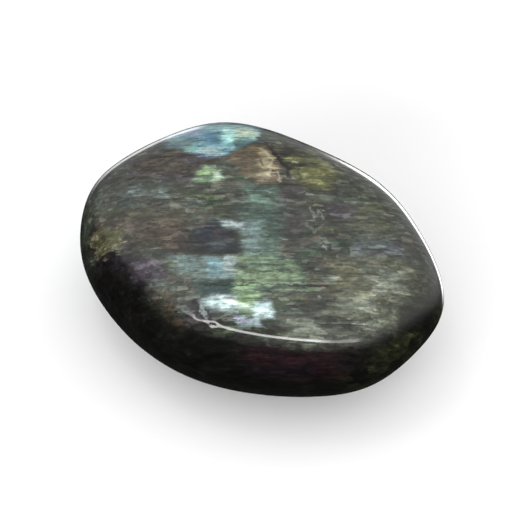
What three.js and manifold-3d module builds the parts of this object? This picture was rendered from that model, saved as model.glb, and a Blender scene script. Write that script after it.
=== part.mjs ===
// A palm-sized tumbled labradorite stone: one thick oval pebble whose worn flats
// meet in soft ridges, with a few tiny pits and a small flat on its belly that it
// rests on. Millimetres, +Z up, +X along the stone's length, origin under the
// middle of its outline, on the plane of the resting flat.
import * as THREE from "three";
import { mergeVertices } from "three/addons/utils/BufferGeometryUtils.js";
import Module from "manifold-3d";

// Driving dimensions
const LENGTH = 60;
const WIDTH = 46;
const THICKNESS = 28;
const REST_FLAT_DEPTH = 0.3; // how much of the belly's crown the resting flat takes off

// The higher this power is, the crisper the ridges between the worn flats are.
const RIDGE_POWER = 13;

// Worn flats. Azimuth is from +X towards +Y and elevation above the horizon, in
// degrees. Reach is the flat's distance from the middle, as a share of how far a
// plain oval pebble of this length, width and thickness stands out that way.
const WORN_FLATS = [
  { azimuth: 300, elevation: 79, reach: 0.79 }, // broad upper face, leaning to the front
  { azimuth: 0, elevation: -90, reach: 0.88 }, // belly
  { azimuth: 165, elevation: 38, reach: 0.89 }, // bevel over the round end
  { azimuth: 95, elevation: 42, reach: 0.98 }, // bevel along the back
  { azimuth: 58, elevation: 10, reach: 0.94 }, // back wall
  { azimuth: 208, elevation: 4, reach: 0.94 }, // round end's wall
  { azimuth: 252, elevation: 8, reach: 1.03 }, // long front wall
  { azimuth: 303, elevation: 0, reach: 0.95 }, // front corner's wall
  { azimuth: 350, elevation: 10, reach: 0.95 }, // blunt end's wall
  { azimuth: 0, elevation: -34, reach: 0.96 }, // bevels round the belly
  { azimuth: 60, elevation: -40, reach: 0.93 },
  { azimuth: 130, elevation: -38, reach: 0.93 },
  { azimuth: 240, elevation: -26, reach: 1.1 },
  { azimuth: 310, elevation: -46, reach: 0.98 },
];

// Low swells that tumbling leaves under the polish: sine waves of the direction
// from the middle of the stone, each running along one line through it.
const SWELLS = [
  { along: [0.8, 0.5, 0.33], turns: 7, phase: 0.4, height: 0.035 },
  { along: [-0.45, 0.87, 0.2], turns: 9, phase: 1.9, height: 0.03 },
  { along: [0.3, -0.35, 0.89], turns: 8, phase: 3.1, height: 0.025 },
];

// The stone's crystal plates show as fine lines along this azimuth.
const GRAIN_AZIMUTH = 38;

// Pits where small grains were plucked out, by the direction that each lies in.
// Length is along the grain.
const PITS = [
  { azimuth: 355, elevation: 38, length: 1.1, width: 0.9, depth: 0.2 }, // upper face
  { azimuth: 284.5, elevation: 16.5, length: 2.6, width: 0.9, depth: 0.3 }, // front ridge
  { azimuth: 289.5, elevation: 14.5, length: 1.2, width: 0.9, depth: 0.2 },
  { azimuth: 293, elevation: 12.5, length: 1.9, width: 0.7, depth: 0.25 },
  { azimuth: 247.5, elevation: 8, length: 1.7, width: 1, depth: 0.25 }, // long front wall
  { azimuth: 122, elevation: 14, length: 2, width: 1.2, depth: 0.3 }, // back
  { azimuth: 40, elevation: -26, length: 2.4, width: 1.3, depth: 0.3 }, // under the blunt end
];

// Mesh fineness
const SKIN_DETAIL = 16; // extra cuts along each edge of the icosahedron under the skin
const PIT_DETAIL = 3;

const wasm = await Module();
wasm.setup();

// The unit vector at an azimuth and elevation in degrees.
function direction(azimuth, elevation) {
  const polar = THREE.MathUtils.degToRad(90 - elevation);
  const around = THREE.MathUtils.degToRad(azimuth);
  const [x, y] = [Math.cos(around), Math.sin(around)];
  return new THREE.Vector3(x * Math.sin(polar), y * Math.sin(polar), Math.cos(polar));
}

const halfSize = new THREE.Vector3(LENGTH, WIDTH, THICKNESS).multiplyScalar(0.5);
const flats = WORN_FLATS.map(({ azimuth, elevation, reach }) => {
  const normal = direction(azimuth, elevation);
  const distance = reach * normal.clone().multiply(halfSize).length();
  return { normal, distance };
});

// How far the pebble's skin is from its middle along a unit vector. A plain oval
// and each flat would stop it at 1 / closeness, and the power mean of those
// rounds the ridges where they meet.
function skinRadius(toward) {
  let sum = toward.clone().divide(halfSize).length() ** RIDGE_POWER;
  for (const { normal, distance } of flats) {
    const closeness = toward.dot(normal) / distance;
    if (closeness > 0) sum += closeness ** RIDGE_POWER;
  }
  let radius = sum ** (-1 / RIDGE_POWER);
  for (const { along, turns, phase, height } of SWELLS) {
    radius += height * Math.sin(turns * toward.dot(new THREE.Vector3(...along)) + phase);
  }
  return radius;
}

// The closed mesh of a geometry, with its shared vertices merged.
function closedMesh(geometry) {
  const bare = geometry.clone();
  bare.deleteAttribute("normal");
  bare.deleteAttribute("uv");
  return mergeVertices(bare, 1e-4);
}

function toSolid(geometry) {
  const closed = closedMesh(geometry);
  return new wasm.Manifold(
    new wasm.Mesh({
      numProp: 3,
      vertProperties: new Float32Array(closed.attributes.position.array),
      triVerts: new Uint32Array(closed.index.array),
    }),
  );
}

function toGeometry(solid) {
  const { vertProperties, triVerts } = solid.getMesh();
  const geometry = new THREE.BufferGeometry();
  geometry.setAttribute("position", new THREE.BufferAttribute(vertProperties, 3));
  geometry.setIndex(new THREE.BufferAttribute(triVerts, 1));
  return geometry.toNonIndexed();
}

// The pebble before its resting flat and pits: a sphere of even triangles, each
// corner moved out or in to the skin, then stretched to the driving dimensions.
function pebble() {
  const skin = closedMesh(new THREE.IcosahedronGeometry(1, SKIN_DETAIL));
  const corners = skin.attributes.position;
  const corner = new THREE.Vector3();
  for (let i = 0; i < corners.count; i++) {
    corner.fromBufferAttribute(corners, i).normalize();
    corner.multiplyScalar(skinRadius(corner));
    corners.setXYZ(i, ...corner);
  }
  skin.computeBoundingBox();
  const size = skin.boundingBox.getSize(new THREE.Vector3());
  const middle = skin.boundingBox.getCenter(new THREE.Vector3());
  const fullSize = new THREE.Vector3(LENGTH, WIDTH, THICKNESS + REST_FLAT_DEPTH);
  const fit = new THREE.Matrix4()
    .makeTranslation(0, 0, fullSize.z / 2 - REST_FLAT_DEPTH)
    .scale(fullSize.clone().divide(size))
    .multiply(new THREE.Matrix4().makeTranslation(middle.negate()));
  return { skin: skin.applyMatrix4(fit), fit };
}

// A squashed ball that scoops one pit out of the skin, lying flat on it.
function pitCutter({ azimuth, elevation, length, width, depth }, fit) {
  const toward = direction(azimuth, elevation);
  const onSkin = (way) => {
    const unit = way.clone().normalize();
    return unit.multiplyScalar(skinRadius(unit)).applyMatrix4(fit);
  };
  const step = 0.01;
  const side = new THREE.Vector3(0, 0, 1).cross(toward).normalize();
  const rise = toward.clone().cross(side);
  const centre = onSkin(toward);
  const alongSide = onSkin(toward.clone().addScaledVector(side, step)).sub(centre);
  const alongRise = onSkin(toward.clone().addScaledVector(rise, step)).sub(centre);
  const outward = alongSide.cross(alongRise).normalize();
  const across = outward.clone().cross(direction(GRAIN_AZIMUTH, 0)).normalize();
  const grain = across.clone().cross(outward);
  const ball = new THREE.IcosahedronGeometry(1, PIT_DETAIL);
  ball.scale(length / 2, width / 2, depth);
  ball.applyMatrix4(new THREE.Matrix4().makeBasis(grain, across, outward));
  return ball.translate(...centre);
}

// Everything below the plane that the stone rests on.
function groundBlock() {
  const reach = 2 * LENGTH;
  return new THREE.BoxGeometry(reach, reach, THICKNESS).translate(0, 0, -THICKNESS / 2);
}

function stone() {
  const { skin, fit } = pebble();
  let solid = toSolid(skin).subtract(toSolid(groundBlock()));
  for (const pit of PITS) solid = solid.subtract(toSolid(pitCutter(pit, fit)));
  const polished = new THREE.MeshStandardMaterial({ color: 0x4b4e43, roughness: 0.12, metalness: 0 });
  const mesh = new THREE.Mesh(toGeometry(solid), polished);
  mesh.name = "stone";
  return mesh;
}

const model = new THREE.Group();
model.add(stone());

export default model;
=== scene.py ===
import math
from collections import namedtuple
from itertools import combinations

import bpy
import numpy as np
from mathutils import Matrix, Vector


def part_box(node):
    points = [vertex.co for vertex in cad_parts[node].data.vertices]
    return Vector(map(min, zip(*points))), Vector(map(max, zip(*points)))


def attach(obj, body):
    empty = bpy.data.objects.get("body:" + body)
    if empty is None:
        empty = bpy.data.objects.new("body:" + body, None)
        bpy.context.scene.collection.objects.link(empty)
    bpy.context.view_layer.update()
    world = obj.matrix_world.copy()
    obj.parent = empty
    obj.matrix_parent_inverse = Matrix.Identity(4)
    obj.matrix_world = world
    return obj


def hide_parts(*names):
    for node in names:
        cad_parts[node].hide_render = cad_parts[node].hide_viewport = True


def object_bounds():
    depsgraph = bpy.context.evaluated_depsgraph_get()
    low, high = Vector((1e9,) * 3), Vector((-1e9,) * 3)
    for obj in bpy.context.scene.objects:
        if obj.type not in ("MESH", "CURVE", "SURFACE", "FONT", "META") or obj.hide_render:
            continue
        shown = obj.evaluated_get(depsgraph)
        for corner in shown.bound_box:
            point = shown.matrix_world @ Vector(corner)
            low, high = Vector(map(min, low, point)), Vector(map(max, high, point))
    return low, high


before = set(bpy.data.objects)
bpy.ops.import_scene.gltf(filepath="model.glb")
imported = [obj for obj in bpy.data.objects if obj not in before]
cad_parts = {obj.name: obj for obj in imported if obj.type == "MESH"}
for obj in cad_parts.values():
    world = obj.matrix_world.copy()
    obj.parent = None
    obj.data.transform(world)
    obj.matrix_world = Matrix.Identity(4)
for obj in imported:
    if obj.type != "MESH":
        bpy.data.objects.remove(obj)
cad_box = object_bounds()

# A polished labradorite pebble lying on its belly on a pale floor. The polished
# skin is a finer mesh of the imported stone, and its material holds the crystal
# plates, the tints, the patches of coloured sheen, the cracks and the specks, with
# painted shade on its lower walls and ends and a few painted highlights.
# Metres, in the frame of the imported model; lengths named _MM are millimetres.

MM = 0.001

# View, in degrees.
VIEW_AZIMUTH = 38
VIEW_ELEVATION = 43
LENS_MM = 200
SENSOR_MM = 36
STONE_SHARE = 0.74  # how much of the picture's width the stone takes
SEEN_WIDTH = 0.0575  # the stone's width as the camera sees it


def from_horizon(azimuth, elevation):
    """The unit vector towards a viewer who looks at the stone from there."""
    around, up = math.radians(azimuth), math.radians(elevation)
    return Vector((math.sin(around) * math.cos(up), -math.cos(around) * math.cos(up), math.sin(up)))


def make_camera():
    low, high = (Vector(corner) for corner in cad_box)
    centre = (low + high) / 2
    toward = from_horizon(VIEW_AZIMUTH, VIEW_ELEVATION)
    distance = SEEN_WIDTH / STONE_SHARE * LENS_MM / SENSOR_MM
    data = bpy.data.cameras.new("camera")
    data.lens = LENS_MM
    data.sensor_width = SENSOR_MM
    data.clip_start = 0.01
    data.clip_end = 20
    camera = bpy.data.objects.new("camera", data)
    camera.location = centre + toward * distance
    camera.rotation_mode = "QUATERNION"
    camera.rotation_quaternion = (-toward).to_track_quat("-Z", "Y")
    bpy.context.scene.collection.objects.link(camera)
    bpy.context.scene.camera = camera


make_camera()

# Form of the pebble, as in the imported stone: a plain oval and its worn flats.
# Azimuth is from +X towards +Y and elevation above the horizon, in degrees; reach
# is a share of how far the plain oval stands out that way.
LENGTH_MM = 60
WIDTH_MM = 46
THICKNESS_MM = 28
REST_FLAT_DEPTH_MM = 0.3
RIDGE_POWER = 13
WORN_FLATS = (
    (300, 79, 0.79),
    (0, -90, 0.88),
    (165, 38, 0.89),
    (95, 42, 0.98),
    (58, 10, 0.94),
    (208, 4, 0.94),
    (252, 8, 1.03),
    (303, 0, 0.95),
    (350, 10, 0.95),
    (0, -34, 0.96),
    (60, -40, 0.93),
    (130, -38, 0.93),
    (240, -26, 1.1),
    (310, -46, 0.98),
)
# Low swells under the polish: line, turns, phase, height in millimetres.
SWELLS = (
    ((0.8, 0.5, 0.33), 7, 0.4, 0.035),
    ((-0.45, 0.87, 0.2), 9, 1.9, 0.03),
    ((0.3, -0.35, 0.89), 8, 3.1, 0.025),
)
# Finer ripples that only the polished skin has.
RIPPLES = (
    ((0.62, -0.7, 0.35), 23, 0.7, 0.004),
    ((0.1, 0.83, -0.55), 31, 2.2, 0.003),
    ((-0.9, -0.2, 0.4), 27, 4.1, 0.003),
)
GRAIN_AZIMUTH = 38
# Pits: azimuth, elevation, then length along the grain, width and depth in millimetres.
PITS = (
    (355, 38, 1.1, 0.9, 0.2),
    (284.5, 16.5, 2.6, 0.9, 0.06),
    (289.5, 14.5, 1.6, 0.8, 0.05),
    (293, 12.5, 2.2, 0.8, 0.06),
    (247.5, 8, 1.7, 1, 0.25),
    (122, 14, 2, 1.2, 0.3),
    (40, -26, 2.4, 1.3, 0.3),
)
PIT_REACH_MM = 2  # skin farther than this above or below a pit is left alone
PIT_BOWL = 0.7  # power of a pit's bowl; the lower, the steeper its rim
SKIN_CUTS = 90  # parts that each edge of the icosahedron under the skin is cut into


def direction(azimuth, elevation):
    """The unit vector at an azimuth and elevation in degrees, as an array."""
    around, up = math.radians(azimuth), math.radians(elevation)
    return np.array((math.cos(around) * math.cos(up), math.sin(around) * math.cos(up), math.sin(up)))


def skin_radius(towards):
    """How far the skin is from the stone's middle along each unit vector, before the stretch."""
    half = np.array((LENGTH_MM, WIDTH_MM, THICKNESS_MM)) / 2
    total = np.linalg.norm(towards / half, axis=1) ** RIDGE_POWER
    for azimuth, elevation, reach in WORN_FLATS:
        normal = direction(azimuth, elevation)
        stands = reach * np.linalg.norm(normal * half)
        total += np.maximum(towards @ normal / stands, 0) ** RIDGE_POWER
    radius = total ** (-1 / RIDGE_POWER)
    for along, turns, phase, height in SWELLS + RIPPLES:
        radius += height * np.sin(turns * (towards @ np.array(along)) + phase)
    return radius


def sphere_grid(cuts):
    """Unit vectors and triangles of an icosahedron whose edges are cut into equal parts."""
    golden = (1 + math.sqrt(5)) / 2
    corners = []
    for one in (-1, 1):
        for other in (-golden, golden):
            corners += [(0, one, other), (one, other, 0), (other, 0, one)]
    corners = np.array(corners, float)
    edge = 2
    near = np.abs(np.linalg.norm(corners[:, None] - corners[None], axis=2) - edge) < 0.01
    index_of = {}
    points = []
    triangles = []

    def index(point):
        key = tuple(np.round(point, 6) + 0.0)
        if key not in index_of:
            index_of[key] = len(points)
            points.append(point)
        return index_of[key]

    for a, b, c in combinations(range(len(corners)), 3):
        if not (near[a, b] and near[b, c] and near[a, c]):
            continue
        first, second, third = corners[a], corners[b], corners[c]
        if np.dot(np.cross(second - first, third - first), first) < 0:
            second, third = third, second
        rows = []
        for i in range(cuts + 1):
            row = []
            for j in range(cuts + 1 - i):
                k = cuts - i - j
                row.append(index((first * k + second * i + third * j) / cuts))
            rows.append(row)
        for i in range(cuts):
            for j in range(cuts - i):
                triangles.append((rows[i][j], rows[i + 1][j], rows[i][j + 1]))
                if j < cuts - i - 1:
                    triangles.append((rows[i + 1][j], rows[i + 1][j + 1], rows[i][j + 1]))
    points = np.array(points)
    return points / np.linalg.norm(points, axis=1)[:, None], np.array(triangles)


def stretched_skin(cuts):
    """The skin's points in millimetres, its triangles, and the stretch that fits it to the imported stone."""
    towards, triangles = sphere_grid(cuts)
    points = towards * skin_radius(towards)[:, None]
    low, high = points.min(0), points.max(0)
    box_low, box_high = (np.array(corner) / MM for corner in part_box("stone"))
    box_low[2] -= REST_FLAT_DEPTH_MM
    scale = (box_high - box_low) / (high - low)
    shift = box_low - low * scale
    return points * scale + shift, triangles, scale, shift


def on_skin(toward, scale, shift):
    """The skin's point that lies in a direction from its middle."""
    unit = toward / np.linalg.norm(toward)
    return unit * skin_radius(unit[None])[0] * scale + shift


def press_pits(points, scale, shift):
    """Presses the pits into the skin, along its own inward direction."""
    step = 0.01  # small turn to each side of a pit, which finds how the skin lies there
    for azimuth, elevation, length, width, depth in PITS:
        toward = direction(azimuth, elevation)
        side = np.cross((0, 0, 1), toward)
        side /= np.linalg.norm(side)
        rise = np.cross(toward, side)
        centre = on_skin(toward, scale, shift)
        outward = np.cross(
            on_skin(toward + side * step, scale, shift) - centre,
            on_skin(toward + rise * step, scale, shift) - centre,
        )
        outward /= np.linalg.norm(outward)
        across = np.cross(outward, direction(GRAIN_AZIMUTH, 0))
        across /= np.linalg.norm(across)
        grain = np.cross(across, outward)
        offset = points - centre
        along = offset @ grain / (length / 2)
        beside = offset @ across / (width / 2)
        near = np.abs(offset @ outward) < PIT_REACH_MM
        angle = np.arctan2(beside, along)
        ragged = 1 + 0.12 * np.sin(3 * angle + azimuth) + 0.07 * np.sin(5 * angle + 2 * azimuth)
        spread = np.hypot(along, beside) / ragged
        bowl = np.where(near, np.clip(1 - spread**2, 0, 1) ** PIT_BOWL, 0)
        points -= outward * (depth * bowl)[:, None]


def polished_skin():
    points, triangles, scale, shift = stretched_skin(SKIN_CUTS)
    press_pits(points, scale, shift)
    points[:, 2] = np.maximum(points[:, 2], 0)
    mesh = bpy.data.meshes.new("polished_stone")
    mesh.from_pydata(points * MM, [], triangles)
    mesh.polygons.foreach_set("use_smooth", np.ones(len(triangles), bool))
    mesh.update()
    piece = bpy.data.objects.new("polished_stone", mesh)
    bpy.context.scene.collection.objects.link(piece)
    return piece


# Colours of the crystal, linear.
SHADE = (0.0020, 0.0020, 0.0014)
BODY = (0.045, 0.051, 0.040)
FLAKE = (0.210, 0.230, 0.190)
VEIL = (0.260, 0.280, 0.250)
BROWN = (0.040, 0.033, 0.024)
ROSE = (0.060, 0.044, 0.036)
MAUVE = (0.036, 0.031, 0.034)
HEATHER = (0.056, 0.046, 0.060)
PLUM = (0.009, 0.005, 0.009)
WINE = (0.016, 0.004, 0.007)
NAVY = (0.010, 0.012, 0.026)
SLATE = (0.013, 0.018, 0.022)
STEEL = (0.052, 0.063, 0.064)
BLUE_GREY = (0.072, 0.080, 0.092)
KHAKI = (0.068, 0.070, 0.040)
HAZE = (0.052, 0.088, 0.070)
PALE = (0.112, 0.125, 0.097)
MOSS = (0.013, 0.014, 0.005)
LICHEN = (0.076, 0.082, 0.022)
OLIVE = (0.125, 0.126, 0.050)
BRONZE = (0.120, 0.090, 0.052)
SAND = (0.250, 0.215, 0.160)
GOLD = (0.400, 0.350, 0.210)
GLARE = (0.600, 0.570, 0.430)
RUST = (0.060, 0.030, 0.018)
DEEP_BLUE = (0.035, 0.130, 0.230)
BLUE = (0.100, 0.240, 0.350)
DUSK = (0.260, 0.290, 0.440)
SKY = (0.180, 0.310, 0.340)
CYAN = (0.210, 0.420, 0.440)
BRIGHT_CYAN = (0.460, 0.820, 0.760)
AQUA = (0.560, 0.720, 0.540)
TEAL = (0.058, 0.105, 0.098)
DARK_TEAL = (0.018, 0.046, 0.046)
MIST = (0.130, 0.180, 0.170)
PALE_BLUE = (0.160, 0.220, 0.220)
FROST = (0.360, 0.440, 0.440)
FIR = (0.030, 0.060, 0.040)
FERN = (0.140, 0.210, 0.140)
GREEN = (0.190, 0.270, 0.165)
LEAF = (0.260, 0.390, 0.200)
# Sheen colours that also hold a painted highlight.
ICE = (0.500, 0.650, 0.640)
PALE_ICE = (0.440, 0.560, 0.600)
LILAC = (0.400, 0.340, 0.480)

PLATE_TILT = 30  # how far the crystal plates lean from upright, in degrees

FRAYS = (0.3, 0.6, 1)
FRAY_REACH_MM = (7, 2.2, 2)  # how far the ends wander at fray 1: along the grain, across it and up
EDGE_REACH = 1.6  # how many times its softness an edge fades to each side
# A zone of the crystal. It is convex, and its corners are (along the grain, across it,
# softness of the edge that starts there). It reaches from the height low to high. All
# are millimetres. Inner and outer are its colours, and fray is how raggedly its ends
# follow the plates, one of FRAYS.
Zone = namedtuple("Zone", "name inner outer strength fray low high corners")

# Tints of the body, and painted shade on the lower walls and ends. A zone's colours mix by the cleavage
# blocks.
TINTS = (
    Zone("mauve back", MAUVE, BROWN, 0.9, 0.6, 18, 40,
         ((-20.8, 4.6, 1.5), (-19.4, 9.5, 1), (-13.8, 10.2, 0.8), (-5.7, 6.8, 0.7), (-9.9, 2.1, 0.8))),
    Zone("grey left", STEEL, BODY, 0.6, 1, 16, 40,
         ((-23.8, 2.2, 1), (-23.3, 6.7, 1), (-13.4, 2.4, 1), (-13.4, -1.8, 1))),
    Zone("light streak", MIST, STEEL, 0.6, 0.3, 18, 40,
         ((-20.4, 1.8, 0.4), (-20.4, 2.9, 0.3), (-13.4, 1.1, 0.6), (-13.4, 0, 0.3))),
    Zone("brown left", BROWN, BROWN, 0.8, 0.6, 16, 40,
         ((-24.2, -0.7, 1.5), (-24.2, -3.8, 1), (-13.4, -9.8, 0.6), (-10, -9.3, 0.6), (-10, -4.1, 1),
          (-17.7, -1.1, 1))),
    Zone("brown streak", ROSE, BROWN, 0.8, 0.3, 18, 40,
         ((-13.9, -5.4, 0.6), (-13.8, -9, 0.5), (-10, -9.8, 0.4), (-10, -5.7, 0.5))),
    Zone("haze", HAZE, HAZE, 0.8, 0.6, 18, 40,
         ((-1.8, 1.2, 0.8), (-1.9, -10.6, 0.8), (0.4, -13.9, 1), (3.4, -10.9, 1.2), (3.8, -1.6, 0.8),
          (2.9, 1.1, 0.5))),
    Zone("mauve right", MAUVE, MAUVE, 0.8, 0.3, 18, 40,
         ((3.3, 1.3, 0.3), (3.4, -1.5, 0.5), (7.3, -1.7, 0.3), (7.2, 1.3, 0.3))),
    Zone("mauve low", MAUVE, SLATE, 0.6, 1, 18, 40,
         ((3.4, -1.7, 1), (3.6, -8.5, 1), (7.3, -9.5, 0.8), (7.3, -1.7, 0.8))),
    Zone("mauve far", HEATHER, MAUVE, 0.7, 0.6, 18, 40,
         ((10.3, -2.1, 0.5), (10.6, -5.3, 0.8), (14.6, -4.7, 0.5), (14.4, -2, 0.4))),
    Zone("khaki", KHAKI, BODY, 0.7, 1, 18, 40,
         ((14.2, -0.2, 1), (14.2, -8.9, 1), (21.8, -7.7, 1.5), (20.2, -0.6, 1.5), (17.6, 2.4, 1.2))),
    Zone("blue grey", BLUE_GREY, STEEL, 0.75, 0.6, 18, 40,
         ((14.2, -8.9, 0.4), (14.2, -12.5, 1), (18.4, -12.8, 1), (21, -9.7, 1), (21.1, -8, 0.6))),
    Zone("olive", OLIVE, MOSS, 0.7, 0.6, 18, 40,
         ((3.8, 12.3, 0.4), (3.8, 4.9, 0.4), (7.2, 1, 0.4), (11.1, 0.9, 0.6), (12.4, 4.6, 1),
          (8.1, 12.9, 1.2))),
    Zone("olive core", LICHEN, OLIVE, 0.55, 0.6, 18, 40,
         ((7.4, 4.8, 0.3), (7.5, 0.4, 0.4), (11.1, 0.3, 0.6), (12, 3.7, 0.6))),
    Zone("pale right", PALE, KHAKI, 0.95, 1, 18, 40,
         ((10.7, -12.1, 1.2), (11.6, -23, 1.5), (20.2, -20.1, 1.5), (24.5, -11.4, 1.5), (18.1, -11.9, 1.2))),
    Zone("pale low", PALE, BODY, 0.75, 0.6, 18, 40,
         ((3.8, -21.5, 0.6), (4.3, -24.5, 0.6), (13.7, -24.2, 1), (20.2, -20.1, 1), (15.9, -20, 1))),
    Zone("ridge grey", HEATHER, MAUVE, 0.7, 0.6, 18, 40,
         ((-10.3, -18.7, 0.5), (-9.5, -20.1, 0.3), (-6.6, -21, 0.4), (-7, -19.1, 0.4), (-9.2, -16.8, 0.4))),
    # Painted shade: the lower left end is darkened to near-black plum.
    Zone("plum end", PLUM, SHADE, 0.92, 0.6, 0, 40,
         ((-32, -1.9, 0.6), (-32, -20, 1), (-18, -15.5, 1), (-13.4, -12.6, 0.8), (-17.6, -8.7, 0.4),
          (-21.6, -6.1, 0.5))),
    Zone("mauve patch", HEATHER, HEATHER, 0.75, 0.6, 17, 40,
         ((-17.7, -9.7, 0.5), (-17.8, -11.6, 0.4), (-13.5, -13.6, 0.5), (-13.5, -10.8, 0.5))),
    Zone("slate block", SLATE, SLATE, 0.85, 0.3, 18, 40,
         ((-10, -6.2, 2), (-10, -10.4, 0.3), (-1.6, -11, 0.4), (-3.3, -6.3, 0.3), (-6.1, -4.6, 0.5))),
    Zone("slate top", PLUM, MAUVE, 0.5, 0.3, 18, 40,
         ((-6.6, -5.6, 0.4), (-6.6, -8, 0.4), (-3.1, -8.1, 0.3), (-3.6, -6.2, 0.3))),
    Zone("navy", NAVY, NAVY, 0.7, 0.3, 18, 40,
         ((-8.5, -6, 0.4), (-8.5, -7.8, 0.4), (-6.6, -8, 0.4), (-6.5, -6.1, 0.4))),
    Zone("dark gap", MOSS, SHADE, 0.8, 0.6, 18, 40,
         ((-1.4, -21.6, 0.5), (-1, -23, 0.5), (3.8, -23.7, 0.8), (3.8, -22.5, 0.5))),
    # Painted shade: the right end is darkened to near black, with a moss tint.
    Zone("right edge", MOSS, SHADE, 0.85, 1, -2, 40,
         ((16.5, -24, 1.8), (23.5, -11, 1.8), (29, -5, 2), (40, -14, 2), (30, -34, 2))),
    # Painted shade: the front wall under the upper face is near black, and the wine and moss tints on it are
    # darkened with it.
    Zone("front wall", SHADE, SHADE, 0.97, 0.6, -2, 19,
         ((-40, -2, 3), (-40, -60, 2), (40, -60, 2), (40, -6, 8))),
    Zone("wine", WINE, PLUM, 0.55, 1, 12.8, 18.6,
         ((-1.5, -22, 1.5), (-1.5, -30, 1.5), (14, -30, 1.5), (14, -22, 1.5))),
    Zone("moss", MOSS, SHADE, 0.8, 1, 3, 17,
         ((13.5, -18, 2.5), (13.5, -32, 2), (36, -32, 2), (30, -8, 2))),
)

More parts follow.
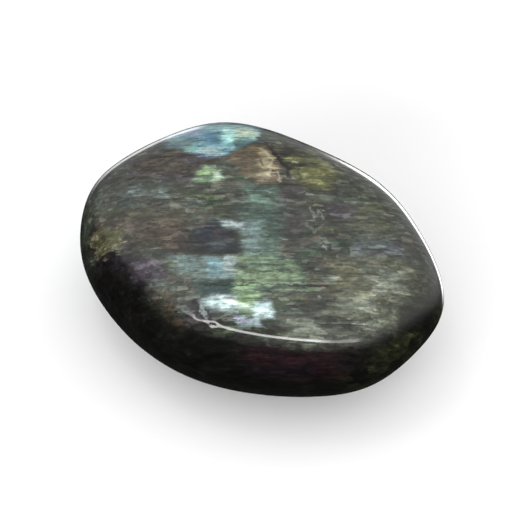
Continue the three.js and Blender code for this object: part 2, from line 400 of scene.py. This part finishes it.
# Patches of sheen, each with its inner colour in the middle and its outer one at the edge.
SHEENS = (
    Zone("crescent", CYAN, BLUE, 0.95, 0.3, 18, 40,
         ((-14.1, 15.7, 0.8), (-13.4, 11.2, 0.6), (-10, 8.8, 0.5), (-7.4, 7.3, 0.4), (-5.4, 7.2, 0.3),
          (-3.1, 8.6, 0.4), (0.1, 11.1, 0.4), (0.8, 16.2, 1), (0, 20, 1), (-13, 20, 1))),
    Zone("crescent left", FERN, MIST, 0.8, 0.6, 18, 40,
         ((-13.9, 13, 0.5), (-13.5, 10.5, 0.4), (-9.6, 9, 0.6), (-9.2, 11.4, 0.6))),
    Zone("crescent violet", DUSK, BLUE, 0.8, 0.6, 18, 40,
         ((-12.1, 13.6, 0.5), (-11.7, 16.2, 0.6), (-8.7, 17.1, 0.8), (-7.8, 11.9, 0.8))),
    Zone("crescent deep", DEEP_BLUE, BLUE, 0.8, 0.6, 18, 40,
         ((-8, 14.1, 0.6), (-7.7, 10.4, 0.6), (-4.8, 9.8, 0.6), (-4.8, 13.4, 0.6))),
    Zone("crescent low", FROST, DUSK, 0.7, 0.6, 18, 40,
         ((-8.8, 9.5, 0.4), (-8.3, 7.6, 0.3), (-5.7, 7.4, 0.4), (-5.3, 9.2, 0.4))),
    Zone("crescent right", BRIGHT_CYAN, CYAN, 0.9, 0.3, 18, 40,
         ((-5.3, 15.4, 0.5), (-5.3, 11, 0.4), (-2.9, 10.5, 0.4), (-2.7, 14.8, 0.6))),
    Zone("crescent tip", AQUA, CYAN, 0.9, 0.6, 18, 40,
         ((-3.1, 16.2, 0.4), (-3.1, 11.3, 0.4), (0.3, 11.6, 0.5), (-0.1, 16.5, 0.6))),
    Zone("fir corner", FIR, TEAL, 0.8, 0.3, 18, 40,
         ((-3.3, 11.2, 0.3), (-3.4, 8.5, 0.4), (-0.1, 10.6, 0.3))),
    Zone("green spot", LEAF, FERN, 0.85, 0.3, 18, 40,
         ((-9.6, 2.4, 0.3), (-6.1, 2.1, 0.3), (-5.1, 3.2, 0.3), (-6.1, 4.6, 0.3), (-7.5, 5.5, 0.4),
          (-8.5, 4.7, 0.4))),
    Zone("spot glint", FROST, AQUA, 0.8, 0.3, 18, 40,
         ((-6.4, 4.1, 0.2), (-6.4, 2.7, 0.3), (-5.3, 2.8, 0.3), (-5.5, 4.1, 0.3))),
    Zone("gold", BRONZE, BROWN, 0.8, 0.6, 18, 40,
         ((-4.4, 7, 0.6), (-3.6, 8.2, 0.5), (-0.1, 10.3, 0.5), (3.5, 11.1, 0.4), (3.8, 1.4, 0.3),
          (-0.1, 1.9, 0.4), (-2.7, 3.9, 0.5))),
    Zone("gold core", GOLD, BRONZE, 0.85, 1, 18, 40,
         ((0.6, 9.1, 0.5), (0.8, 2.7, 0.5), (2.9, 2.9, 0.4), (2.7, 8.3, 0.4))),
    Zone("gold low", SAND, BRONZE, 0.7, 0.6, 18, 40,
         ((0.4, 3.8, 0.4), (0.4, 1.6, 0.3), (3.8, 1.4, 0.3), (3.8, 3.8, 0.5))),
    Zone("pale streak", PALE_BLUE, MIST, 0.7, 0.6, 18, 40,
         ((-1.8, -4.5, 0.5), (-1.9, -10.6, 0.3), (0.6, -10.8, 0.6), (0.7, -4.6, 0.8))),
    Zone("white fleck", FROST, PALE_BLUE, 0.7, 0.3, 18, 40,
         ((-5.4, -4.6, 0.3), (-4.8, -5.9, 0.3), (-1.6, -7.1, 0.3), (-1.6, -5.3, 0.4))),
    Zone("gold speck", LICHEN, GOLD, 0.6, 1, 14, 40,
         ((-24, -1.3, 0.4), (-24.1, -3.8, 0.3), (-20.4, -7, 0.3), (-20.3, -4, 0.3))),
    Zone("pale band", MIST, PALE, 1, 0.3, 18, 40,
         ((-13.1, -10.4, 1.2), (-13.2, -12.1, 0.6), (-9.2, -14.6, 0.4), (-2.7, -15.2, 0.4),
          (-2.7, -11.2, 0.25))),
    Zone("band blue", SKY, PALE_BLUE, 0.8, 0.3, 18, 40,
         ((-7.2, -11.2, 0.3), (-7.2, -14.6, 0.5), (-4.6, -14.9, 0.5), (-4.8, -11.3, 0.3))),
    Zone("band right", FROST, PALE_BLUE, 0.9, 0.3, 18, 40,
         ((-4.8, -11, 0.3), (-4.8, -14.1, 0.8), (-2.6, -14.2, 0.4), (-2.7, -11.2, 0.3))),
    Zone("green lines", GREEN, HAZE, 0.8, 1, 18, 40,
         ((-3.1, -11.1, 0.4), (-3.2, -17.5, 0.5), (2.1, -17.8, 1), (7.6, -17.1, 1), (7.3, -13.1, 0.8),
          (2.9, -11.1, 0.6))),
    Zone("lime", LEAF, GREEN, 0.9, 0.6, 18, 40,
         ((-3.1, -16, 0.3), (-3.1, -19.6, 0.3), (0.3, -20.1, 0.4), (0.7, -17.3, 0.5), (-0.1, -16, 0.4))),
    Zone("teal low", DARK_TEAL, TEAL, 0.8, 0.6, 18, 40,
         ((-9, -14.9, 0.4), (-8.7, -16.9, 0.5), (-6.5, -17.9, 0.3), (-3.1, -18, 0.3), (-3.1, -15.3, 0.3))),
    # Sheen with a painted highlight: the ice patches above the front ridge are partly a lamp's gleam painted
    # into the colour.
    Zone("ice left", ICE, FROST, 1, 0.3, 19, 40,
         ((-8.1, -17.8, 0.4), (-6.5, -19.4, 0.3), (-2.9, -20.1, 0.3), (-2.7, -17.9, 0.4),
          (-6.5, -17.3, 0.3))),
    Zone("ice middle", FERN, ICE, 0.6, 0.6, 19, 40,
         ((-3.1, -19.1, 0.4), (-2.7, -20.5, 0.3), (0.3, -20.9, 0.3), (0.1, -19.5, 0.4))),
    Zone("ice right", PALE_ICE, ICE, 0.95, 0.3, 19, 40,
         ((-0.1, -18.8, 0.4), (-0.1, -21.2, 0.3), (2.7, -21.4, 0.4), (2.3, -19.3, 0.5), (1.3, -18.7, 0.5))),
    Zone("lilac", LILAC, PALE_ICE, 0.9, 0.6, 19, 40,
         ((-3.4, -20.6, 0.2), (-2.7, -21.5, 0.3), (0.7, -22.2, 0.3), (0.5, -21.3, 0.2))),
    Zone("rust", RUST, BROWN, 0.6, 0.6, 16, 40,
         ((-13.5, -15.8, 0.6), (-13, -18, 0.5), (-10.8, -19.2, 0.5), (-11.3, -17.3, 0.6))),
    Zone("back flash", BLUE, TEAL, 0.7, 1, 3, 12,
         ((-24, 6, 2), (-15, 12, 3), (-9, 30, 3), (-26, 30, 2))),
    Zone("back glow", TEAL, DARK_TEAL, 0.5, 1, 6, 15,
         ((-6, 13, 3), (0, 13, 3), (6, 30, 3), (-12, 30, 3))),
    Zone("back gold", BRONZE, OLIVE, 0.7, 1, 8, 18,
         ((9, 12, 1.5), (19, 9, 1), (22, 26, 1.5), (11, 30, 1.5))),
    Zone("end flash", TEAL, MIST, 0.6, 1, 8, 17,
         ((22, -4, 1), (40, -4, 1), (40, 5, 1.5), (21, 6, 1.5))),
    Zone("belly flash", BLUE, TEAL, 0.8, 1, -2, 7,
         ((-14, -6, 1.5), (-4, -9, 1), (6, -2, 1), (2, 7, 1.5), (-10, 5, 1.5))),
    Zone("belly green", LEAF, GREEN, 0.6, 1, -2, 6,
         ((6, 3, 1), (13, 1, 1), (14, 7, 1.2), (8, 9, 1))),
)
# Cracks and scratches, and a few painted highlights and painted shade: both ends along and across the grain
# and width in millimetres, then colour and strength. All lie in the upper face.
CRACKS = (
    ((0.3, 12.2), (2.6, 8.1), 0.35, SHADE, 0.7),
    ((2.6, 8.1), (4.8, 4.3), 0.5, SHADE, 0.9),
    ((4.8, 4.3), (4.9, 2.6), 0.4, SHADE, 0.7),
    ((2.3, 10.6), (2.4, 8.7), 0.35, SHADE, 0.6),
    ((0.6, 6.4), (0.9, 5.0), 0.4, SHADE, 0.6),
    ((4.0, 1.5), (7.2, 1.2), 0.3, SHADE, 0.45),
    ((6.4, 4.6), (6.7, 2.4), 0.3, SHADE, 0.45),
    ((1.2, 8.4), (2.5, 6.3), 0.4, GLARE, 0.3),
    ((2.5, 6.3), (1.7, 3.3), 0.35, GLARE, 0.28),
    ((3.2, 4.0), (3.6, 2.0), 0.3, GLARE, 0.25),
    ((5.2, 6.1), (6.3, 5.9), 0.4, GLARE, 0.3),
    # Chips on the front ridge: two dark lines, and a painted highlight between them.
    ((-9.0, -17.4), (-7.4, -20.0), 0.3, SHADE, 0.6),
    ((-8.2, -18.3), (-6.9, -20.2), 0.3, FROST, 0.4),
    ((-7.2, -19.5), (-6.3, -20.9), 0.3, SHADE, 0.75),
    ((-7.8, -15.7), (10.8, -16.6), 0.22, SHADE, 0.7),
    ((-3.2, -17.0), (8.9, -17.7), 0.18, SHADE, 0.5),
    ((1.8, -16.0), (7.6, -16.1), 0.3, VEIL, 0.35),
    ((2.4, -17.3), (7.4, -17.3), 0.25, VEIL, 0.3),
    ((7.9, -2.8), (8.7, -4.8), 0.3, VEIL, 0.3),
    ((8.7, -4.8), (9.4, -3.3), 0.3, VEIL, 0.25),
    ((9.4, -3.3), (10.0, -5.1), 0.3, VEIL, 0.3),
    ((7.3, -5.8), (8.7, -7.4), 0.3, VEIL, 0.2),
    ((8.7, -7.4), (9.9, -5.8), 0.3, VEIL, 0.2),
    # Painted highlight and painted shade on the pit near the right of the face: a light spot and a dark tick.
    ((9.9, -9.9), (10.5, -10.0), 0.45, VEIL, 0.5),
    ((10.9, -9.1), (11.1, -10.6), 0.35, SHADE, 0.6),
)
CRACK_CORE = 0.3  # share of a crack's width that is fully dark or light
CRACK_END = 0.04  # share of its length over which each end fades
CRACK_WANDER_MM = (2.2, 1.4, 0)
FACE_LEVEL_MM = 18  # the upper face is above this height

# Casts of other colours over the body: colour factor, and how far a plate's own hue moves it.
WARM_CAST = ((1.35, 0.92, 0.95), 0.10)
GREEN_CAST = ((0.95, 1.18, 0.65), -0.08)
COOL_CAST = ((0.72, 1.04, 1.22), -0.10)

NEEDLE_CELLS = (0.7, 1.9, 1.1)  # cells per millimetre that a dark needle may lie in
NEEDLE_LACK = 0.75  # share of the cells that have none
NEEDLE_STRENGTH = 0.8


class Graph:
    """Builds nodes in one tree. An input is another node's output or a plain value."""

    def __init__(self, tree):
        self.tree = tree
        self.tree.nodes.clear()

    def node(self, kind, **settings):
        made = self.tree.nodes.new(kind)
        for name, value in settings.items():
            setattr(made, name, value)
        return made

    def feed(self, socket, value):
        if isinstance(value, bpy.types.NodeSocket):
            self.tree.links.new(value, socket)
        elif socket.type == "RGBA" and len(value) == 3:
            socket.default_value = (*value, 1)
        else:
            socket.default_value = value

    def math(self, operation, *values):
        made = self.node("ShaderNodeMath", operation=operation)
        for socket, value in zip(made.inputs, values):
            self.feed(socket, value)
        return made.outputs[0]

    def vector(self, operation, *values):
        made = self.node("ShaderNodeVectorMath", operation=operation)
        for socket, value in zip(made.inputs, values):
            self.feed(socket, value)
        return made.outputs["Value" if operation in ("LENGTH", "DOT_PRODUCT") else "Vector"]

    def turned(self, position, scale=(1, 1, 1), rotation=(0, 0, 0), shift=(0, 0, 0)):
        made = self.node("ShaderNodeMapping")
        self.feed(made.inputs["Vector"], position)
        made.inputs["Scale"].default_value = scale
        made.inputs["Rotation"].default_value = [math.radians(angle) for angle in rotation]
        made.inputs["Location"].default_value = shift
        return made.outputs[0]

    def noise(self, position, scale=(1, 1, 1), detail=2.0, roughness=0.5, shift=(0, 0, 0), output="Fac"):
        position = self.turned(position, scale=scale, shift=shift)
        made = self.node("ShaderNodeTexNoise")
        self.feed(made.inputs["Vector"], position)
        made.inputs["Scale"].default_value = 1
        made.inputs["Detail"].default_value = detail
        made.inputs["Roughness"].default_value = roughness
        return made.outputs[output]

    def cells(self, position, scale=(1, 1, 1), output="Distance", **settings):
        position = self.turned(position, scale=scale)
        made = self.node("ShaderNodeTexVoronoi", **settings)
        self.feed(made.inputs["Vector"], position)
        made.inputs["Scale"].default_value = 1
        return made.outputs[output]

    def channels(self, colour):
        made = self.node("ShaderNodeSeparateColor")
        self.feed(made.inputs[0], colour)
        return made.outputs[0], made.outputs[1], made.outputs[2]

    def smooth(self, value, low, high, to_low=0.0, to_high=1.0):
        made = self.node("ShaderNodeMapRange", interpolation_type="SMOOTHSTEP", clamp=False)
        for socket, part in zip(made.inputs, (value, low, high, to_low, to_high)):
            self.feed(socket, part)
        return made.outputs[0]

    def times(self, first, *others):
        for other in others:
            first = self.math("MULTIPLY", first, other)
        return first

    def sum(self, *terms):
        """Sum of (value, weight) terms, each value taken from its middle, 0.5."""
        total = 0.0
        for value, weight in terms:
            total = self.math("ADD", total, self.math("MULTIPLY_ADD", value, weight, -weight / 2))
        return total

    def mix(self, share, first, second):
        """Between two colours, which are carried as vectors all along."""
        # The node has a pair of inputs for each kind of data. 4 and 5 are the vectors.
        made = self.node("ShaderNodeMix", data_type="VECTOR")
        self.feed(made.inputs[0], share)
        self.feed(made.inputs[4], first)
        self.feed(made.inputs[5], second)
        return made.outputs[1]

    def grouped(self, name, fill, position, item):
        """The share that fill gives an item at a position, from a node group of its own."""
        tree = bpy.data.node_groups.new(name, "ShaderNodeTree")
        tree.interface.new_socket("Position", in_out="INPUT", socket_type="NodeSocketVector")
        tree.interface.new_socket("Share", in_out="OUTPUT", socket_type="NodeSocketFloat")
        g = Graph(tree)
        share = fill(g, g.node("NodeGroupInput").outputs[0], item)
        g.feed(g.node("NodeGroupOutput").inputs[0], share)
        made = self.node("ShaderNodeGroup", node_tree=tree)
        self.feed(made.inputs[0], position)
        return made.outputs[0]

    def scale(self, colour, amount):
        made = self.node("ShaderNodeVectorMath", operation="SCALE")
        self.feed(made.inputs["Vector"], colour)
        self.feed(made.inputs["Scale"], amount)
        return made.outputs["Vector"]


class Crystal:
    """The fields that every part of the stone's colour is drawn from. Their scales are in
    features per millimetre, along the grain, across it and up."""

    def __init__(self, g):
        place = g.node("ShaderNodeTexCoord").outputs["Object"]
        # x runs along the grain; in plates, y is square to the crystal plates too.
        self.spot = g.turned(place, scale=(1 / MM,) * 3, rotation=(0, 0, -GRAIN_AZIMUTH))
        self.height = g.vector("DOT_PRODUCT", self.spot, (0, 0, 1))
        self.plates = g.turned(self.spot, rotation=(-PLATE_TILT, 0, 0))

        self.cloud = g.noise(self.spot, (0.11, 0.13, 0.13), detail=3, roughness=0.5)
        self.mottle = g.noise(self.plates, (0.45, 0.90, 0.7), detail=3, roughness=0.6, shift=(7, 2, 0))
        self.grain = g.noise(self.plates, (1.3, 2.9, 2.2), detail=3, roughness=0.7)
        self.streak = g.noise(self.plates, (0.16, 1.7, 0.5), detail=3, roughness=0.6)
        comb = g.noise(self.plates, (0.10, 1.4, 0.4), detail=4, roughness=0.62, output="Color")
        self.comb = g.vector("SUBTRACT", comb, (0.5, 0.5, 0.5))
        # The grain as zones see it, the more ragged the higher the fray.
        self.frayed = {}
        for fray in FRAYS:
            reach = tuple(part * fray for part in FRAY_REACH_MM)
            self.frayed[fray] = g.vector("MULTIPLY_ADD", self.comb, reach, self.spot)
        hue = g.noise(self.spot, (0.17, 0.32, 0.3), detail=6, roughness=0.7, shift=(3, 8, 1), output="Color")
        self.warm, self.green, self.cool = g.channels(hue)

        # Cleavage blocks: long low cells with straight sides.
        block_place = g.vector("MULTIPLY_ADD", self.comb, (3.0, 0.8, 1.0), self.plates)
        blocks = g.cells(block_place, (0.20, 0.60, 0.30), "Color", distance="CHEBYCHEV")
        self.block_light, self.block_hue, _ = g.channels(blocks)

        # Small flat plates with crisp edges.
        plate_place = g.vector("MULTIPLY_ADD", self.comb, (0.8, 0.3, 0.4), self.plates)
        small = g.cells(plate_place, (0.75, 2.1, 1.2), "Color", distance="CHEBYCHEV")
        self.plate_light, self.plate_hue, _ = g.channels(small)

        # Plate lines come and go.
        line = g.noise(self.plates, (0.03, 3.2, 0.06), detail=2, roughness=0.6)
        shown = g.smooth(g.noise(self.plates, (0.10, 0.28, 0.2), detail=3, shift=(0, 5, 0)), 0.46, 0.62)
        self.dark_line = g.times(g.smooth(line, 0.57, 0.66), shown)
        self.light_line = g.times(g.smooth(line, 0.42, 0.35), shown)

        # Brightness of the texture, in stops.
        tone = g.sum(
            (self.cloud, 2.0),
            (self.mottle, 2.8),
            (self.grain, 2.8),
            (self.streak, 2.0),
            (self.block_light, 0.9),
            (self.plate_light, 1.4),
        )
        tone = g.math("MULTIPLY_ADD", self.dark_line, -0.8, tone)
        self.tone = g.math("MULTIPLY_ADD", self.light_line, 0.8, tone)
        self.shade = g.math("POWER", 2.0, self.tone)
        self.glint = g.math("POWER", 2.0, g.math("MULTIPLY", self.tone, 0.5))


def zone_share(g, position, zone):
    """1 well inside a zone and 0 outside it."""
    corners = zone.corners
    following = corners[1:] + corners[:1]
    area = sum(a[0] * b[1] - b[0] * a[1] for a, b in zip(corners, following))
    turn = math.copysign(1, area)
    height = g.vector("DOT_PRODUCT", position, (0, 0, 1))
    above_low = g.math("SUBTRACT", height, zone.low)
    below_high = g.math("SUBTRACT", zone.high, height)
    nearest = g.math("MINIMUM", above_low, below_high)
    for (x, y, soft), (next_x, next_y, _) in zip(corners, following):
        reach = turn / (math.hypot(next_x - x, next_y - y) * soft)
        inward = ((y - next_y) * reach, (next_x - x) * reach, 0)
        at_edge = x * inward[0] + y * inward[1]
        distance = g.math("SUBTRACT", g.vector("DOT_PRODUCT", position, inward), at_edge)
        nearest = g.math("MINIMUM", nearest, distance)
    return g.smooth(nearest, -EDGE_REACH, EDGE_REACH)


def inside(g, crystal, zone):
    return g.grouped("zone " + zone.name, zone_share, crystal.frayed[zone.fray], zone)


def body_colour(g, crystal):
    """Dark grey-green feldspar with painted shade that darkens it towards the bottom, and casts of other
    colours.
    """
    height = g.math("ADD", crystal.height, g.sum((crystal.cloud, 14)))
    # Painted shade: the body is darkened towards the bottom and left paler on the upper face.
    painted_shade_by_height = g.smooth(height, 12, 23, 0.32, 0.88)
    body = g.scale(BODY, g.times(crystal.shade, painted_shade_by_height))
    fields = (crystal.warm, crystal.green, crystal.cool)
    for amount, (cast, lean) in zip(fields, (WARM_CAST, GREEN_CAST, COOL_CAST)):
        amount = g.math("MULTIPLY_ADD", crystal.plate_hue, lean, g.math("SUBTRACT", amount, lean / 2))
        body = g.mix(g.smooth(amount, 0.47, 0.68, 0, 0.85), body, g.vector("MULTIPLY", body, cast))
    flake = g.times(g.smooth(crystal.plate_light, 0.82, 0.90), g.smooth(crystal.mottle, 0.42, 0.60))
    # The pale flakes also thin out towards the bottom, with the painted shade.
    body = g.mix(g.times(flake, g.smooth(height, 14, 24, 0.1, 0.4)), body, FLAKE)
    for zone in TINTS:
        blend = g.smooth(g.math("ADD", crystal.block_hue, g.sum((crystal.warm, 2))), 0.3, 0.9)
        colour = g.scale(g.mix(blend, zone.inner, zone.outer), crystal.shade)
        body = g.mix(g.math("MULTIPLY", inside(g, crystal, zone), zone.strength), body, colour)
    return body


def add_sheen(g, crystal, body):
    """Lays the patches of sheen over the body. Each is broken by the texture it lies in."""
    broken = g.times(
        g.smooth(crystal.streak, 0.34, 0.55, 0.65, 1.05),
        g.smooth(crystal.mottle, 0.34, 0.55, 0.65, 1.05),
        g.smooth(crystal.grain, 0.32, 0.56, 0.65, 1.05),
        g.math("MULTIPLY_ADD", crystal.dark_line, -0.4, 1),
    )
    flow = g.sum((crystal.warm, 3), (crystal.streak, 2))
    drift = g.math("ADD", g.sum((crystal.block_hue, 0.9)), flow)
    colour = body
    sheen = 0.0
    for zone in SHEENS:
        share = inside(g, crystal, zone)
        patch = g.mix(g.smooth(g.math("ADD", share, drift), 0.3, 1.0), zone.outer, zone.inner)
        patch = g.scale(patch, crystal.glint)
        share = g.math("MINIMUM", g.times(share, broken, zone.strength), 1.0)
        colour = g.mix(share, colour, patch)
        sheen = g.math("MAXIMUM", sheen, share)
    return colour, sheen


def crack_share(g, position, crack):
    """1 on the line of a crack and 0 beside it."""
    start, end, width, _, _ = crack
    run = (end[0] - start[0], end[1] - start[1], 0)
    length = math.hypot(*run)
    offset = g.vector("SUBTRACT", position, (*start, 0))
    along = g.vector("DOT_PRODUCT", offset, tuple(part / length**2 for part in run))
    beside = g.vector("DOT_PRODUCT", offset, (-run[1] / length, run[0] / length, 0))
    line = g.smooth(g.math("ABSOLUTE", beside), width * CRACK_CORE, width, 1, 0)
    start_fade = g.smooth(along, -CRACK_END, CRACK_END)
    end_fade = g.smooth(along, 1 + CRACK_END, 1 - CRACK_END)
    return g.times(line, start_fade, end_fade)


def add_cracks(g, crystal, colour):
    wander = g.noise(crystal.spot, (0.9, 0.9, 0.9), detail=4, roughness=0.6, output="Color")
    wander = g.vector("SUBTRACT", wander, (0.5, 0.5, 0.5))
    position = g.vector("MULTIPLY_ADD", wander, CRACK_WANDER_MM, crystal.spot)
    on_face = g.math("GREATER_THAN", crystal.height, FACE_LEVEL_MM)
    for crack in CRACKS:
        _, _, _, stain, strength = crack
        share = g.grouped("crack", crack_share, position, crack)
        colour = g.mix(g.times(share, on_face, strength), colour, stain)
    return colour


def add_needles(g, crystal, colour):
    """Specks and short needles of dark ore that lie in the plates."""
    pick = g.channels(g.cells(crystal.plates, NEEDLE_CELLS, "Color"))[0]
    needle = g.smooth(g.cells(crystal.plates, NEEDLE_CELLS), 0.08, 0.2, 1, 0)
    chosen = g.math("GREATER_THAN", pick, NEEDLE_LACK)
    return g.mix(g.times(needle, chosen, NEEDLE_STRENGTH), colour, SHADE)


def labradorite():
    material = bpy.data.materials.new("polished_labradorite")
    material.use_nodes = True
    g = Graph(material.node_tree)
    crystal = Crystal(g)
    colour, sheen = add_sheen(g, crystal, body_colour(g, crystal))
    colour = add_needles(g, crystal, add_cracks(g, crystal, colour))
    shader = g.node("ShaderNodeBsdfPrincipled")
    g.feed(shader.inputs["Base Color"], colour)
    g.feed(shader.inputs["Metallic"], g.math("MULTIPLY", sheen, 0.5))
    g.feed(shader.inputs["Roughness"], g.smooth(sheen, 0, 0.6, 0.5, 0.36))
    shader.inputs["Specular IOR Level"].default_value = 0.1
    shader.inputs["IOR"].default_value = 1.5
    shader.inputs["Coat Weight"].default_value = 0.55
    shader.inputs["Coat Roughness"].default_value = 0.03
    shader.inputs["Coat IOR"].default_value = 1.56
    bump = g.node("ShaderNodeBump")
    bump.inputs["Strength"].default_value = 0.5
    bump.inputs["Distance"].default_value = 0.2 * MM
    g.feed(bump.inputs["Height"], g.math("ADD", crystal.streak, g.math("MULTIPLY", crystal.block_light, 0.6)))
    g.feed(shader.inputs["Normal"], bump.outputs[0])
    output = g.node("ShaderNodeOutputMaterial")
    g.tree.links.new(shader.outputs[0], output.inputs["Surface"])
    return material


stone = polished_skin()
stone.data.materials.append(labradorite())
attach(stone, "root")
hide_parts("stone")

# Floor, light tent and lamp. Angles are in degrees, and a place on the tent is given by the
# azimuth and elevation that from_horizon takes.
FLOOR_REACH = 3.0
FLOOR_COLOUR = (0.9, 0.9, 0.9)

TENT = 1.1  # radiance of the tent's cloth
TENT_BEHIND = 0.5  # share of it that is left low behind the stone
TENT_FRONT = -8  # azimuth where the tent's hem is highest
TENT_TILT = 20  # elevation of the hem there; it is as far below the horizon behind
# Sines above the hem where the cloth starts and where it is full, in front and behind.
CLOTH_FRONT = (-0.015, 0.02)
CLOTH_BEHIND = (-0.28, 0.12)
OPENING = 0.02  # radiance below the hem
HEM = 17  # radiance of the bright hem in front
HEM_BAND = (-0.02, 0.02, 0.10, 0.16)  # sines above the hem where it starts, is full, fades and ends
# Bright parts of the hem: azimuth, elevation, cosines where each starts and is full, strength.
HEM_PARTS = ((14, 12, 0.80, 0.93, 1), (50, 8, 0.87, 0.95, 0.4))
RIM = 7  # radiance of the backdrop's edge, which draws the thin line round the back
RIM_ANGLES = (15, 19, 26, 32)  # where it starts, is full, fades and ends, from the line of sight
# Its parts by the turn about the line of sight, from the right: start, full, fading, end, strength.
RIM_PARTS = ((-12, 12, 58, 70, 1), (98, 106, 122, 160, 0.4))
CAMERA_SHAPE = (15, 36, 24, 10)  # azimuth, elevation and half sizes of the dark shape round the camera
CAMERA_DARKNESS = 0.85  # share of the tent's light that it hides


def make_floor():
    corners = [
        (-FLOOR_REACH, -FLOOR_REACH, 0),
        (FLOOR_REACH, -FLOOR_REACH, 0),
        (FLOOR_REACH, FLOOR_REACH, 0),
        (-FLOOR_REACH, FLOOR_REACH, 0),
    ]
    mesh = bpy.data.meshes.new("floor")
    mesh.from_pydata(corners, [], [(0, 1, 2, 3)])
    floor = bpy.data.objects.new("floor", mesh)
    bpy.context.scene.collection.objects.link(floor)
    material = bpy.data.materials.new("pale_floor")
    material.use_nodes = True
    g = Graph(material.node_tree)
    shader = g.node("ShaderNodeBsdfDiffuse")
    g.feed(shader.inputs["Color"], FLOOR_COLOUR)
    output = g.node("ShaderNodeOutputMaterial")
    g.tree.links.new(shader.outputs[0], output.inputs["Surface"])
    mesh.materials.append(material)
    floor.visible_glossy = False  # the stone mirrors the dark end of the studio below the horizon


def facing(g, toward, azimuth, elevation):
    """Cosine of the angle between the looked-at direction and a place on the tent."""
    return g.vector("DOT_PRODUCT", toward, from_horizon(azimuth, elevation))


def tent_light(g, toward):
    above_hem = facing(g, toward, TENT_FRONT + 180, 90 - TENT_TILT)
    frontal = g.smooth(facing(g, toward, 10, 0), 0.2, 0.8)
    low = g.smooth(frontal, 0, 1, CLOTH_BEHIND[0], CLOTH_FRONT[0])
    high = g.smooth(frontal, 0, 1, CLOTH_BEHIND[1], CLOTH_FRONT[1])
    behind = g.smooth(facing(g, toward, VIEW_AZIMUTH + 180, 0), 0.45, 0.9)
    radiance = g.smooth(behind, 0, 1, TENT, TENT * TENT_BEHIND)
    cloth = g.times(g.smooth(above_hem, low, high), radiance)
    hem_place = 0.0
    for azimuth, elevation, start, full, strength in HEM_PARTS:
        part = g.smooth(facing(g, toward, azimuth, elevation), start, full, 0, strength)
        hem_place = g.math("ADD", hem_place, part)
    start, full, fading, end = HEM_BAND
    hem = g.times(g.smooth(above_hem, start, full), g.smooth(above_hem, end, fading), hem_place, HEM)
    return g.math("ADD", cloth, hem)


def camera_shape(g, toward):
    """0 inside the dark shape round the camera and 1 outside it."""
    azimuth, elevation, half_width, half_height = CAMERA_SHAPE
    sideways = facing(g, toward, azimuth + 90, 0)
    upward = facing(g, toward, azimuth + 180, 90 - elevation)
    across = g.math("DIVIDE", sideways, math.sin(math.radians(half_width)))
    along = g.math("DIVIDE", upward, math.sin(math.radians(half_height)))
    spread = g.math("SQRT", g.math("ADD", g.math("POWER", across, 2.0), g.math("POWER", along, 2.0)))
    before = g.math("GREATER_THAN", facing(g, toward, azimuth, elevation), 0)
    shape = g.times(g.smooth(spread, 1.15, 0.75), before)
    return g.math("MULTIPLY_ADD", shape, -CAMERA_DARKNESS, 1)


def rim_light(g, toward):
    """Parts of a ring round the line of sight, beyond the stone."""
    depth = facing(g, toward, VIEW_AZIMUTH + 180, -VIEW_ELEVATION)
    level = facing(g, toward, VIEW_AZIMUTH + 90, 0)
    upward = facing(g, toward, VIEW_AZIMUTH + 180, 90 - VIEW_ELEVATION)
    near, near_full, far_full, far = (math.cos(math.radians(angle)) for angle in RIM_ANGLES)
    ring = g.times(g.smooth(depth, near, near_full), g.smooth(depth, far, far_full))
    turn = g.math("DEGREES", g.math("ARCTAN2", upward, level))
    share = 0.0
    for start, full, fading, end, strength in RIM_PARTS:
        part = g.times(g.smooth(turn, start, full), g.smooth(turn, end, fading), strength)
        share = g.math("ADD", share, part)
    return g.times(ring, share, RIM)


def make_world():
    world = bpy.data.worlds.new("studio")
    world.use_nodes = True
    bpy.context.scene.world = world
    g = Graph(world.node_tree)
    toward = g.node("ShaderNodeTexCoord").outputs["Generated"]
    glow = g.times(tent_light(g, toward), camera_shape(g, toward))
    glow = g.math("ADD", g.math("ADD", glow, OPENING), rim_light(g, toward))
    background = g.node("ShaderNodeBackground")
    g.feed(background.inputs["Color"], (1, 1, 1))
    g.feed(background.inputs["Strength"], glow)
    output = g.node("ShaderNodeOutputWorld")
    g.tree.links.new(background.outputs[0], output.inputs["Surface"])


def softbox(name, azimuth, elevation, distance, width, height, radiance):
    """An oval light that looks at the stone; radiance is what a mirror would show of it."""
    data = bpy.data.lights.new(name, "AREA")
    data.shape = "ELLIPSE"
    data.size = width
    data.size_y = height
    data.energy = radiance * width * height * math.pi**2 / 4
    light = bpy.data.objects.new(name, data)
    toward = from_horizon(azimuth, elevation)
    light.location = toward * distance
    light.rotation_mode = "QUATERNION"
    light.rotation_quaternion = toward.to_track_quat("Z", "Y")
    light.visible_camera = False
    bpy.context.scene.collection.objects.link(light)


make_floor()
make_world()
softbox("key_lamp", azimuth=-49, elevation=77, distance=0.5, width=0.055, height=0.065, radiance=9)

scene = bpy.context.scene
scene.view_settings.view_transform = "Standard"
scene.view_settings.look = "None"
